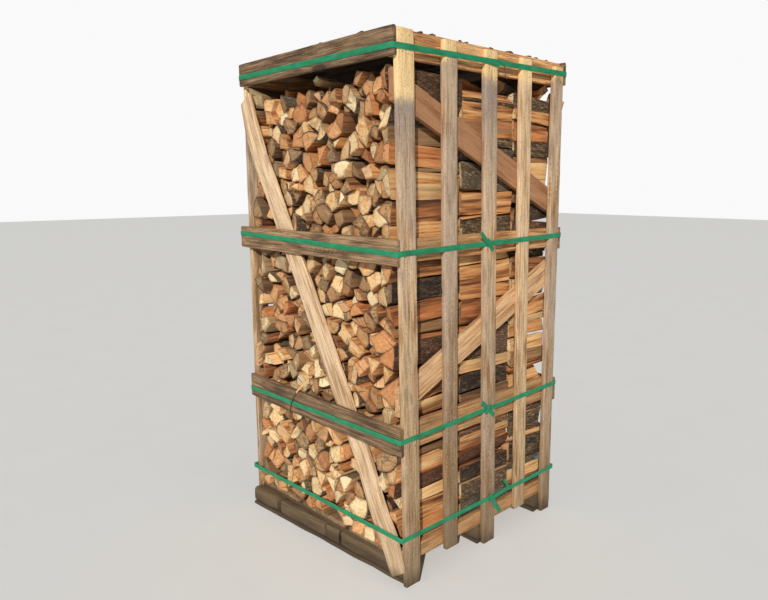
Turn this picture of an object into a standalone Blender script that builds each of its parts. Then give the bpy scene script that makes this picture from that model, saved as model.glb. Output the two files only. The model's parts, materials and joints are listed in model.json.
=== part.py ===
"""Pallet of softwood firewood: a strapped crate of split logs on a block pallet.

Run with: blender --background --python part.py

Metres, +Z up. +X is the slatted side that faces right, -Y is the open face where
the log ends show, and the logs run along Y. The origin ends up on the floor under
the middle of the whole crate.
"""
import math
import random

import bmesh
import bpy
from mathutils import Vector

# The crate, out to out
WIDTH = 1.000
DEPTH = 1.000
HEIGHT = 2.046
GAP = 0.0003

# How far the right-hand side frame has racked back at the floor
RACK_FRONT = 0.060
RACK_REAR = 0.045

# Board thicknesses
SLAT_T = 0.020
RAIL_T = 0.024
FACE_T = 0.018
ROOF_T = 0.0180
SKID_T = 0.018
STRINGER_T = 0.020
DECK_T = 0.020

# Planes that the layers are built up from
SLAT_OUT = WIDTH / 2
SLAT_IN = SLAT_OUT - SLAT_T
RAIL_IN = SLAT_IN - RAIL_T
FACE_OUT = DEPTH / 2
FACE_IN = FACE_OUT - FACE_T
FRAME_END = FACE_IN - GAP

# Pallet levels
BLOCK_Z0 = SKID_T + GAP
BLOCK_Z1 = 0.0877
STRINGER_Z0 = BLOCK_Z1 + GAP
DECK_Z0 = STRINGER_Z0 + STRINGER_T + GAP
STACK_Z0 = DECK_Z0 + DECK_T + 0.0007

# Skids run along X under the front, the middle and the rear of the deck
SKID_END = SLAT_IN - GAP
SKIDS = {"front": (-0.470, -0.380), "middle": (-0.035, 0.060), "rear": (0.380, 0.470)}
SKID_BOARD_LIP = 0.004
FRONT_SKID_SKEW = 0.051
STRINGER_LIP = FRAME_END - 0.470
FRONT_BLOCKS = {
    "left_block": (-SKID_END, -0.305),
    "left_runner": (-0.279, 0.028),
    "middle_block": (0.0303, 0.112),
    "right_runner": (0.1243, SKID_END),
}
CORNER_BLOCK = 0.146
CENTRE_BLOCK = 0.140
DECK_BOARD_W = 0.285

# Heights of the horizontal boards: lower edge, upper edge
RAILS = {
    "top": (1.952, 2.044),
    "middle": (1.265, 1.349),
    "low": (0.555, 0.660),
    "bottom": (STRINGER_Z0, 0.150),
}
FACE_BOARDS = {"top": (1.953, HEIGHT), "middle": (1.256, 1.352), "low": (0.546, 0.656)}
MIDDLE_OVERHANG = 0.038
TOP_BOARD_RISE = 0.010

# Slats: centre at the top, centre at the foot, width, foot height, top height
SLATS = (
    (-0.4424, -0.4421, 0.0780, 0.000, 2.043),
    (-0.2230, -0.2175, 0.0700, 0.070, 2.036),
    (0.0030, 0.0235, 0.0730, 0.000, 2.032),
    (0.2230, 0.2450, 0.0700, 0.088, 2.030),
    (0.4480, 0.4490, 0.0660, 0.000, 2.024),
)

# Side braces: centre height at the front end, centre height at the rear end
BRACE_W = 0.098
SIDE_BRACES = {"upper": (1.868, 1.450), "lower": (0.746, 1.172)}

# The long diagonal across the open face, from its top end to its foot. It isn't quite
# straight: the sway gives how far it runs to the side at some heights.
DIAGONAL_TOP = (-0.470, 1.908)
DIAGONAL_FOOT = (0.478, 0.048)
DIAGONAL_W = 0.098
DIAGONAL_T = 0.0175
DIAGONAL_SWAY = (
    (0.048, 0.000),
    (0.200, 0.008),
    (0.360, 0.000),
    (0.650, -0.004),
    (0.910, -0.007),
    (1.110, -0.012),
    (1.245, -0.022),
    (1.410, -0.029),
    (1.600, -0.034),
    (1.774, -0.016),
    (1.908, 0.000),
)
DIAGONAL_TUCK = 0.0190
DIAGONAL_STATIONS = 15
TUCK_TOP = (1.760, 1.440)
TUCK_FOOT = (0.480, 0.225)

# Roof boards between the top rails
ROOF_BOARDS = 4
ROOF_BOARD_W = 0.2378

# Plastic straps: heights at the front left, front right, rear right and rear left corners
STRAP_W = 0.020
STRAP_T = 0.0012
STRAP_OFF = 0.0012
STRAP_CORNER_R = 0.003
STRAPS = {
    "top": (2.000, 1.983, 1.999, 2.002),
    "middle": (1.320, 1.300, 1.317, 1.322),
    "low": (0.585, 0.605, 0.629, 0.600),
    "base": (0.190, 0.208, 0.208, 0.196),
}
# Each strap is tied by the middle slat: where the joint starts and ends, and its thickness
STRAP_JOINTS = {
    "top": (-0.030, 0.052),
    "middle": (-0.042, 0.026),
    "low": (-0.042, 0.042),
    "base": (0.012, 0.052),
}
JOINT_T = 0.0062
JOINT_RAMP = 0.006

# Firewood: three rows of split logs, one behind the other
STACK_X = 0.452
STACK_TOP = 1.925
LOG_COLUMNS = 10
LOG_LEVELS = 21
LOG_FACE = 0.425
LOG_PROUD = (0.008, 0.033)
LOW_LOG_PROUD = (0.030, 0.050)
LOW_LOG_TOP = 0.560
DIAGONAL_CLEAR = 0.140
LOG_GROOVE = 0.006
LOG_ROWS = {"front": (-LOG_FACE, -0.115), "middle": (-0.113, 0.213), "rear": (0.215, LOG_FACE)}

COLOURS = {
    "slat": (0.48, 0.36, 0.20),
    "rail": (0.52, 0.33, 0.17),
    "brace": (0.50, 0.33, 0.20),
    "face_board": (0.26, 0.20, 0.13),
    "diagonal": (0.72, 0.58, 0.40),
    "pallet": (0.16, 0.12, 0.08),
    "deck": (0.36, 0.27, 0.17),
    "roof": (0.40, 0.29, 0.17),
    "strap": (0.02, 0.33, 0.15),
    "log": (0.62, 0.40, 0.20),
}


def clear_scene():
    for thing in list(bpy.data.objects):
        bpy.data.objects.remove(thing, do_unlink=True)


def wood_or_plastic(name, kind):
    """One material for one piece: dry timber is rough, the strap has a low gloss."""
    material = bpy.data.materials.new(name)
    material.use_nodes = True
    shader = material.node_tree.nodes["Principled BSDF"]
    shader.inputs["Base Color"].default_value = (*COLOURS[kind], 1.0)
    shader.inputs["Roughness"].default_value = 0.35 if kind == "strap" else 0.85
    shader.inputs["Metallic"].default_value = 0.0
    return material


def racked(point):
    """The right-hand side frame stands true at the top and has slid back at the floor."""
    x, y, z = point
    low = 1.0 - z / HEIGHT
    right = x / WIDTH + 0.5
    rear = y / DEPTH + 0.5
    slide = RACK_FRONT + (RACK_REAR - RACK_FRONT) * rear
    return Vector((x, y + low * right * slide, z))


def add_piece(name, bm, kind):
    """Turns the bmesh into one named object with its own material."""
    for vert in bm.verts:
        vert.co = racked(vert.co)
    bmesh.ops.recalc_face_normals(bm, faces=bm.faces[:])
    mesh = bpy.data.meshes.new(name)
    bm.to_mesh(mesh)
    bm.free()
    piece = bpy.data.objects.new(name, mesh)
    piece.data.materials.append(wood_or_plastic(name, kind))
    bpy.context.scene.collection.objects.link(piece)
    return piece


def tube_of_rings(rings, closed):
    """Skins a run of four-cornered rings into one solid, with end caps if it is open."""
    bm = bmesh.new()
    loops = [[bm.verts.new(corner) for corner in ring] for ring in rings]
    pairs = list(zip(loops, loops[1:]))
    if closed:
        pairs.append((loops[-1], loops[0]))
    for here, there in pairs:
        for k in range(4):
            m = (k + 1) % 4
            bm.faces.new((here[k], here[m], there[m], there[k]))
    if not closed:
        bm.faces.new(loops[0])
        bm.faces.new(loops[-1])
    return bm


def plank(name, low, high, kind, skew=0.0, rise=0.0):
    """A straight board between two opposite corners.

    With a skew its left-hand end has been pushed forward, as one metre of board would be
    by that much. With a rise its left-hand end lies higher than its right-hand end.
    """
    (x0, y0, z0), (x1, y1, z1) = low, high
    ends = []
    for x in (x0, x1):
        left = 0.5 - x / WIDTH
        dy, dz = -skew * left, rise * left
        ends.append([
            (x, y0 + dy, z0 + dz),
            (x, y1 + dy, z0 + dz),
            (x, y1 + dy, z1 + dz),
            (x, y0 + dy, z1 + dz),
        ])
    return add_piece(name, tube_of_rings(ends, closed=False), kind)


def slat(name, side, y_top, y_foot, width, z_foot, z_top):
    """An upright slat that may lean a little, nailed over the rails."""
    ends = []
    for y, z in ((y_foot, z_foot), (y_top, z_top)):
        y0, y1 = y - width / 2, y + width / 2
        x0, x1 = side * SLAT_IN, side * SLAT_OUT
        ends.append([(x0, y0, z), (x1, y0, z), (x1, y1, z), (x0, y1, z)])
    return add_piece(name, tube_of_rings(ends, closed=False), "slat")


def side_brace(name, side, z_front, z_rear):
    """A sloping board in the rail layer, cut upright at both ends."""
    run = 2 * FRAME_END
    tall = BRACE_W * math.hypot(run, z_rear - z_front) / run / 2
    ends = []
    for y, z in ((-FRAME_END, z_front), (FRAME_END, z_rear)):
        x0, x1 = side * RAIL_IN, side * (SLAT_IN - GAP)
        ends.append([(x0, y, z - tall), (x1, y, z - tall), (x1, y, z + tall), (x0, y, z + tall)])
    return add_piece(name, tube_of_rings(ends, closed=False), "brace")


def smooth(value):
    value = min(max(value, 0.0), 1.0)
    return value * value * (3.0 - 2.0 * value)


def diagonal_front(z):
    """Depth of the diagonal's outer face: proud at both ends, sprung in behind the boards."""
    in_from_top = smooth((TUCK_TOP[0] - z) / (TUCK_TOP[0] - TUCK_TOP[1]))
    in_from_foot = smooth((z - TUCK_FOOT[1]) / (TUCK_FOOT[0] - TUCK_FOOT[1]))
    return -FACE_OUT + 0.0005 - GAP + DIAGONAL_TUCK * min(in_from_top, in_from_foot)


def diagonal_line(z):
    """Middle of the diagonal at one height: a straight line and its sway."""
    (top_x, top_z), (foot_x, foot_z) = DIAGONAL_TOP, DIAGONAL_FOOT
    x = top_x + (foot_x - top_x) * (top_z - z) / (top_z - foot_z)
    for (z0, sway0), (z1, sway1) in zip(DIAGONAL_SWAY, DIAGONAL_SWAY[1:]):
        if z0 <= z <= z1:
            return x + sway0 + (sway1 - sway0) * smooth((z - z0) / (z1 - z0))
    return x


def diagonal(name, turn):
    """The long waney board across a face. turn is 1 on the front, -1 on the back."""
    wobble = random.Random(11 if turn > 0 else 12)
    (top_x, top_z), (foot_x, foot_z) = DIAGONAL_TOP, DIAGONAL_FOOT
    along = Vector((foot_x - top_x, foot_z - top_z)).normalized()
    across = Vector((-along.y, along.x))
    rings = []
    for k in range(DIAGONAL_STATIONS):
        t = k / (DIAGONAL_STATIONS - 1)
        z = top_z + (foot_z - top_z) * t
        x = diagonal_line(z)
        wane = DIAGONAL_W / 2 + wobble.uniform(-0.004, 0.003)
        y0 = diagonal_front(z)
        y1 = y0 + DIAGONAL_T
        left = Vector((x, z)) - across * (DIAGONAL_W / 2)
        right = Vector((x, z)) + across * wane
        left.x = max(left.x, -SLAT_OUT + 0.002)
        right.x = min(right.x, SLAT_OUT - 0.001)
        flat = [(left.x, y0, left.y), (right.x, y0, right.y), (right.x, y1, right.y), (left.x, y1, left.y)]
        rings.append([(turn * px, turn * py, pz) for px, py, pz in flat])
    return add_piece(name, tube_of_rings(rings, closed=False), "diagonal")


def rounded(corners):
    """Plan points of a strap's centre line, with each corner turned in three short steps."""
    points = []
    count = len(corners)
    for k in range(count):
        here, before, after = corners[k], corners[k - 1], corners[(k + 1) % count]
        inward = (Vector(before[:2]) - Vector(here[:2])).normalized()
        onward = (Vector(after[:2]) - Vector(here[:2])).normalized()
        start = Vector(here[:2]) + inward * STRAP_CORNER_R
        end = Vector(here[:2]) + onward * STRAP_CORNER_R
        for step in range(4):
            t = step / 3
            bend = start * (1 - t) ** 2 + Vector(here[:2]) * 2 * t * (1 - t) + end * t ** 2
            points.append((bend.x, bend.y, here[2]))
    return points


def strap(name, heights, left_reach, joint):
    """A flat band drawn tight round the crate, thicker where its two ends are joined."""
    out = SLAT_OUT + STRAP_OFF
    z = heights
    corners = [(-left_reach, -out, z[0]), (out, -out, z[1]), (out, out, z[2]), (-out, out, z[3])]
    path = [(*point, STRAP_T) for point in rounded(corners)]
    start, end = joint
    bump = []
    for y, thick in (
        (start - JOINT_RAMP, STRAP_T),
        (start, JOINT_T),
        (end, JOINT_T),
        (end + JOINT_RAMP, STRAP_T),
    ):
        t = (y + out) / (2 * out)
        bump.append((out, y, z[1] + (z[2] - z[1]) * t, thick))
    path[8:8] = bump
    rings = []
    for k, (x, y, height, thick) in enumerate(path):
        ahead, behind = path[(k + 1) % len(path)], path[k - 1]
        run = Vector((ahead[0] - behind[0], ahead[1] - behind[1])).normalized()
        outward = Vector((run.y, -run.x))
        ox, oy = x + outward.x * thick, y + outward.y * thick
        low, high = height - STRAP_W / 2, height + STRAP_W / 2
        rings.append([(x, y, low), (ox, oy, low), (ox, oy, high), (x, y, high)])
    return add_piece(name, tube_of_rings(rings, closed=True), "strap")


def stack_grid(chance):
    """Corners of the log ends: an uneven grid with a ragged rim and a level foot."""
    grid = []
    for j in range(LOG_LEVELS + 1):
        line = []
        for i in range(LOG_COLUMNS + 1):
            x = STACK_X * (2 * i / LOG_COLUMNS - 1)
            z = STACK_Z0 + (STACK_TOP - STACK_Z0) * j / LOG_LEVELS
            if 0 < i < LOG_COLUMNS:
                x += chance.uniform(-0.020, 0.020)
            else:
                x *= 1 - chance.uniform(0.0, 0.035)
            if 0 < j < LOG_LEVELS:
                z += chance.uniform(-0.018, 0.018)
            elif j == LOG_LEVELS:
                z += chance.uniform(-0.026, 0.022)
            line.append((x, z))
        grid.append(line)
    return grid


def plain_end(bm, rows):
    """A flat end made of one strip per level, so that it follows the racked frame."""
    for lower, upper in zip(rows, rows[1:]):
        low_line = lower if lower is rows[0] else (lower[0], lower[-1])
        high_line = upper if upper is rows[-1] else (upper[0], upper[-1])
        bm.faces.new(list(low_line) + list(reversed(high_line)))


def log_end_faces(bm, rows, chance):
    """One face for each log end; about a third of the cells are split into two wedges."""
    faces = []
    for lower, upper in zip(rows, rows[1:]):
        for i in range(LOG_COLUMNS):
            cell = (lower[i], lower[i + 1], upper[i + 1], upper[i])
            if chance.random() < 0.35:
                turn = chance.choice((0, 1))
                a, b, c, d = cell[turn:] + cell[:turn]
                faces.append(bm.faces.new((a, b, c)))
                faces.append(bm.faces.new((a, c, d)))
            else:
                faces.append(bm.faces.new(cell))
    return faces


def log_reach(face, carved, chance):
    """How far a log end stands proud: more at the foot of the stack, but not into the diagonal."""
    middle = face.calc_center_median()
    aside = abs(-carved * middle.x - diagonal_line(middle.z))
    if middle.z > LOW_LOG_TOP or (aside < DIAGONAL_CLEAR and middle.z > 0.16):
        return chance.uniform(*LOG_PROUD)
    return chance.uniform(*LOW_LOG_PROUD)


def log_row(name, y0, y1, seed, carved):
    """A row of stacked logs as one solid. carved is the end with the log ends: -1, 0 or 1."""
    chance = random.Random(seed)
    grid = stack_grid(chance)
    bm = bmesh.new()
    ends = []
    for y, here in ((y0, -1), (y1, 1)):
        whole = here == carved
        rows = []
        for j, line in enumerate(grid):
            rim = whole or j in (0, LOG_LEVELS)
            keep = line if rim else (line[0], line[-1])
            rows.append([bm.verts.new((x, y, z)) for x, z in keep])
        ends.append(rows)
    near, far = ends
    for j in range(LOG_LEVELS):
        bm.faces.new((near[j][0], near[j + 1][0], far[j + 1][0], far[j][0]))
        bm.faces.new((near[j][-1], far[j][-1], far[j + 1][-1], near[j + 1][-1]))
    for i in range(LOG_COLUMNS):
        bm.faces.new((near[0][i], far[0][i], far[0][i + 1], near[0][i + 1]))
        bm.faces.new((near[-1][i], near[-1][i + 1], far[-1][i + 1], far[-1][i]))
    log_ends = []
    for rows, here in ((near, -1), (far, 1)):
        if here == carved:
            log_ends = log_end_faces(bm, rows, chance)
        else:
            plain_end(bm, rows)
    bmesh.ops.recalc_face_normals(bm, faces=bm.faces[:])
    for face in log_ends:
        proud = log_reach(face, carved, chance)
        bmesh.ops.inset_individual(bm, faces=[face], thickness=LOG_GROOVE, depth=proud)
    return add_piece(name, bm, "log")


def build_pallet():
    for where, (y0, y1) in SKIDS.items():
        lip = SKID_BOARD_LIP
        skew = FRONT_SKID_SKEW if where == "front" else 0.0
        low = (-SKID_END, y0 - lip, 0.0)
        high = (SKID_END, y1 + lip, SKID_T)
        plank(f"{where}_skid_board", low, high, "pallet", skew)
        if where == "front":
            blocks = FRONT_BLOCKS
        else:
            blocks = {
                "left_block": (-SKID_END, -SKID_END + CORNER_BLOCK),
                "middle_block": (-CENTRE_BLOCK / 2, CENTRE_BLOCK / 2),
                "right_block": (SKID_END - CORNER_BLOCK, SKID_END),
            }
        for block, (x0, x1) in blocks.items():
            plank(f"{where}_{block}", (x0, y0, BLOCK_Z0), (x1, y1, BLOCK_Z1), "pallet", skew)
        front_lip = STRINGER_LIP if where == "front" else 0.0
        rear_lip = STRINGER_LIP if where == "rear" else 0.0
        low = (-RAIL_IN + GAP, y0 - front_lip, STRINGER_Z0)
        high = (RAIL_IN - GAP, y1 + rear_lip, STRINGER_Z0 + STRINGER_T)
        plank(f"{where}_stringer", low, high, "deck")
    reach = RAIL_IN - GAP - DECK_BOARD_W / 2
    for place, x in (("left", -reach), ("centre", 0.0), ("right", reach)):
        low = (x - DECK_BOARD_W / 2, -FRAME_END, DECK_Z0)
        high = (x + DECK_BOARD_W / 2, FRAME_END, DECK_Z0 + DECK_T)
        plank(f"{place}_deck_board", low, high, "deck")


def build_side_frame(place, side):
    for level, (z0, z1) in RAILS.items():
        x0, x1 = sorted((side * RAIL_IN, side * (SLAT_IN - GAP)))
        plank(f"{place}_{level}_rail", (x0, -FRAME_END, z0), (x1, FRAME_END, z1), "rail")
    for level, (z_front, z_rear) in SIDE_BRACES.items():
        side_brace(f"{place}_{level}_brace", side, z_front, z_rear)
    for k, (y_top, y_foot, width, z_foot, z_top) in enumerate(SLATS, start=1):
        slat(f"{place}_slat_{k}", side, y_top, y_foot, width, z_foot, z_top)


def build_face(place, turn):
    for level, (z0, z1) in FACE_BOARDS.items():
        reach = SLAT_OUT
        if place == "front" and level == "middle":
            reach += MIDDLE_OVERHANG
        rise = TOP_BOARD_RISE if level == "top" else 0.0
        y0, y1 = sorted((-turn * FACE_OUT, -turn * FACE_IN))
        plank(f"{place}_{level}_board", (-reach, y0, z0), (SLAT_OUT, y1, z1), "face_board", rise=rise)
    diagonal(f"{place}_diagonal", turn)


def build_roof():
    pitch = (2 * FRAME_END - ROOF_BOARD_W) / (ROOF_BOARDS - 1)
    z0 = RAILS["top"][1] - ROOF_T
    for k in range(ROOF_BOARDS):
        y0 = -FRAME_END + k * pitch
        low = (-RAIL_IN + GAP, y0, z0)
        high = (RAIL_IN - GAP, y0 + ROOF_BOARD_W, z0 + ROOF_T)
        plank(f"roof_board_{k + 1}", low, high, "roof")


def build_straps():
    for level, heights in STRAPS.items():
        overhang = MIDDLE_OVERHANG if level == "middle" else 0.0
        strap(f"{level}_strap", heights, SLAT_OUT + overhang + STRAP_OFF, STRAP_JOINTS[level])


def build_firewood():
    carved = {"front": -1, "middle": 0, "rear": 1}
    for seed, (place, (y0, y1)) in enumerate(LOG_ROWS.items(), start=21):
        log_row(f"firewood_{place}_row", y0, y1, seed, carved[place])


def stand_on_origin():
    """Moves every mesh so that the origin is under the middle of the whole crate."""
    pieces = [thing for thing in bpy.data.objects if thing.type == "MESH"]
    points = [vert.co for piece in pieces for vert in piece.data.vertices]
    middle_x = (min(p.x for p in points) + max(p.x for p in points)) / 2
    middle_y = (min(p.y for p in points) + max(p.y for p in points)) / 2
    for piece in pieces:
        for vert in piece.data.vertices:
            vert.co.x -= middle_x
            vert.co.y -= middle_y
    print(f"{len(pieces)} pieces, moved by {-middle_x:.5f}, {-middle_y:.5f}")


def main():
    clear_scene()
    build_pallet()
    build_side_frame("right", 1)
    build_side_frame("left", -1)
    build_face("front", 1)
    build_face("back", -1)
    build_roof()
    build_straps()
    build_firewood()
    stand_on_origin()


main()
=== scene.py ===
# %% [markdown]
# # A strapped crate of split softwood firewood
#
# The object is a tall slatted crate on a block pallet, filled with three rows of split
# logs and tied with four flat green plastic straps. The load, the boards and the pallet
# arrive as a packed model of plain solids. This lesson gives each of them the surface of
# the real thing: rough sawn boards, cut log ends, split faces, bark, nails and straps.

# %% Load the packed solids
import json
import math
import random

import bmesh
import bpy
from mathutils import Matrix, Vector, noise

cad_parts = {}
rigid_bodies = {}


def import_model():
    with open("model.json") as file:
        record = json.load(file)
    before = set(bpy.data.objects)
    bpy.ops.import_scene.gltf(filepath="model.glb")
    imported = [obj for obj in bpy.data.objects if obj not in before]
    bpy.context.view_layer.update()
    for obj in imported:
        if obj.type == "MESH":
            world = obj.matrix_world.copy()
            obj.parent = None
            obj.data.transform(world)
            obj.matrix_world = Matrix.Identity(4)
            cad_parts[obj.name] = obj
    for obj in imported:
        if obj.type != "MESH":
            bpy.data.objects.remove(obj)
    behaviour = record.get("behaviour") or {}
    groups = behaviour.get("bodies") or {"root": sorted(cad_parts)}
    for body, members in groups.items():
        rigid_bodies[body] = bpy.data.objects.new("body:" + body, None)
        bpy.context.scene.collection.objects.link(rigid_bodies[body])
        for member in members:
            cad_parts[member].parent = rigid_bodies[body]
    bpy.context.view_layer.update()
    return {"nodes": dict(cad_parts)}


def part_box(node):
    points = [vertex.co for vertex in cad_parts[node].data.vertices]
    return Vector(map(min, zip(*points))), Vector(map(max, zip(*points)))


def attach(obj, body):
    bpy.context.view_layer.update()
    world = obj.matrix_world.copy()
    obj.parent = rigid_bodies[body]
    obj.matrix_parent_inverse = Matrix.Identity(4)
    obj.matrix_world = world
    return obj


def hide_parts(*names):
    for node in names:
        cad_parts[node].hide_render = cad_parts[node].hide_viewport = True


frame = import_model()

# %% [markdown]
# ## One place for the crate's own measures
#
# The crate is easiest to describe standing square, with its middle at zero. The real one
# has racked: the right-hand frame has slid back at the floor. It could be bent with a
# lattice, but one short function that moves a point is exact, and every piece can use it.

# %% Crate measures and the racked frame
WIDTH = 1.000
DEPTH = 1.000
HEIGHT = 2.046
RACK_FRONT = 0.060
RACK_REAR = 0.045
TOP_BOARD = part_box("front_top_board")
SHIFT_X = (TOP_BOARD[0].x + TOP_BOARD[1].x) / 2
SHIFT_Y = TOP_BOARD[0].y + DEPTH / 2


def stand(x, y, z):
    """Takes a point of the square crate to where it is on the racked one."""
    low = 1.0 - z / HEIGHT
    right = x / WIDTH + 0.5
    slide = RACK_FRONT + (RACK_REAR - RACK_FRONT) * (y / DEPTH + 0.5)
    return Vector((x + SHIFT_X, y + low * right * slide + SHIFT_Y, z))


print("crate moved by", round(SHIFT_X, 4), round(SHIFT_Y, 4))

# %% [markdown]
# ## Shader sums written as Python
#
# A wood finish is mostly arithmetic on grain coordinates. Laying that out node by node is
# slow to read, so a small class wraps a socket and lets +, - and * add Math nodes.
# Colours are mixed with Mix nodes, because a Math node would turn them grey.

# %% A socket that can be added and multiplied


class Field:
    """A number, vector or colour on its way through one material."""

    def __init__(self, paint, socket):
        self.paint = paint
        self.socket = socket

    def sum_with(self, operation, other, swapped=False):
        first, second = (other, self) if swapped else (self, other)
        return self.paint.node("ShaderNodeMath", {"operation": operation}, {0: first, 1: second})

    def __add__(self, other):
        return self.sum_with("ADD", other)

    def __radd__(self, other):
        return self.sum_with("ADD", other, swapped=True)

    def __sub__(self, other):
        return self.sum_with("SUBTRACT", other)

    def __rsub__(self, other):
        return self.sum_with("SUBTRACT", other, swapped=True)

    def __mul__(self, other):
        return self.sum_with("MULTIPLY", other)

    def __rmul__(self, other):
        return self.sum_with("MULTIPLY", other, swapped=True)


print("a field knows its sums:", [name for name in vars(Field) if name.startswith("__r")])

# %% One material and the nodes that make it


class Paint:
    """A material under construction."""

    def __init__(self, name):
        self.material = bpy.data.materials.new(name)
        self.material.use_nodes = True
        self.tree = self.material.node_tree
        self.tree.nodes.clear()

    def node(self, kind, settings, inputs, out=0):
        """Adds a node: its settings first, then the values or links of its sockets."""
        made = self.tree.nodes.new(kind)
        for key, value in settings.items():
            if key == "stops":
                ramp = made.color_ramp
                while len(ramp.elements) < len(value):
                    ramp.elements.new(1.0)
                for element, (place, colour) in zip(ramp.elements, value):
                    element.position = place
                    element.color = (*colour, 1.0)
            else:
                setattr(made, key, value)
        for key, value in inputs.items():
            if isinstance(value, Field):
                self.tree.links.new(value.socket, made.inputs[key])
            else:
                made.inputs[key].default_value = value
        return None if out is None else Field(self, made.outputs[out])

    def read(self, name, out="Vector"):
        return self.node("ShaderNodeAttribute", {"attribute_name": name}, {}, out)

    def place(self):
        return self.node("ShaderNodeTexCoord", {}, {}, "Object")

    def parts(self, vector):
        first = self.node("ShaderNodeSeparateXYZ", {}, {0: vector})
        return [Field(self, socket) for socket in first.socket.node.outputs]

    def join(self, x, y, z):
        return self.node("ShaderNodeCombineXYZ", {}, {0: x, 1: y, 2: z})

    def noise(self, vector, scale=1.0, detail=3.0):
        inputs = {"Vector": vector, "Scale": scale, "Detail": detail}
        return self.node("ShaderNodeTexNoise", {}, inputs, "Fac")

    def cells(self, vector, scale=1.0, out="Distance", feature="F1"):
        inputs = {"Vector": vector, "Scale": scale}
        return self.node("ShaderNodeTexVoronoi", {"feature": feature}, inputs, out)

    def sine(self, value):
        return self.node("ShaderNodeMath", {"operation": "SINE"}, {0: value})

    def step(self, value, low, high):
        """0 at low and 1 at high, with soft shoulders. low may be above high."""
        inputs = {"Value": value, "From Min": low, "From Max": high}
        return self.node("ShaderNodeMapRange", {"interpolation_type": "SMOOTHSTEP"}, inputs)

    def mix(self, factor, under, over):
        """Lays one colour over another."""
        under = under if isinstance(under, Field) else (*under, 1.0)
        over = over if isinstance(over, Field) else (*over, 1.0)
        return self.node("ShaderNodeMix", {"data_type": "RGBA"}, {0: factor, 6: under, 7: over}, 2)

    def ramp(self, value, stops):
        return self.node("ShaderNodeValToRGB", {"stops": stops}, {0: value})

    def finish(self, colour, roughness, height, depth):
        """Ends the material: a Principled shader, with the height as a bump of that depth."""
        bump = self.node("ShaderNodeBump", {}, {"Height": height, "Distance": depth})
        inputs = {"Base Color": colour, "Roughness": roughness, "Normal": bump}
        shader = self.node("ShaderNodeBsdfPrincipled", {}, inputs)
        self.node("ShaderNodeOutputMaterial", {}, {"Surface": shader}, out=None)
        return self.material


def tint(red, green, blue):
    """A colour given on a 0 to 255 scale, as the linear values that shaders use."""
    return tuple(((c / 255 + 0.055) / 1.055) ** 2.4 for c in (red, green, blue))


print("shader tools ready")

# %% [markdown]
# ## Sawn timber
#
# The crate is made of rough sawn softwood. Each board shows grain drawn out along its
# length, a few knots that the grain flows round, pointed arches where the saw cut the
# rings flat, dark stains, and a grey skin where it has stood in the rain. Under a golden
# end that stayed dry, fungus has stained some slats blue. Every board carries its own
# grain coordinates as a mesh attribute, so one recipe serves boards that run in any
# direction, where a texture tied to the object would run the wrong way on half of them.

# %% The finish of a sawn board
BOARD_MIDDLE = 0.038
BLUE_BELOW = 1.95

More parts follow.
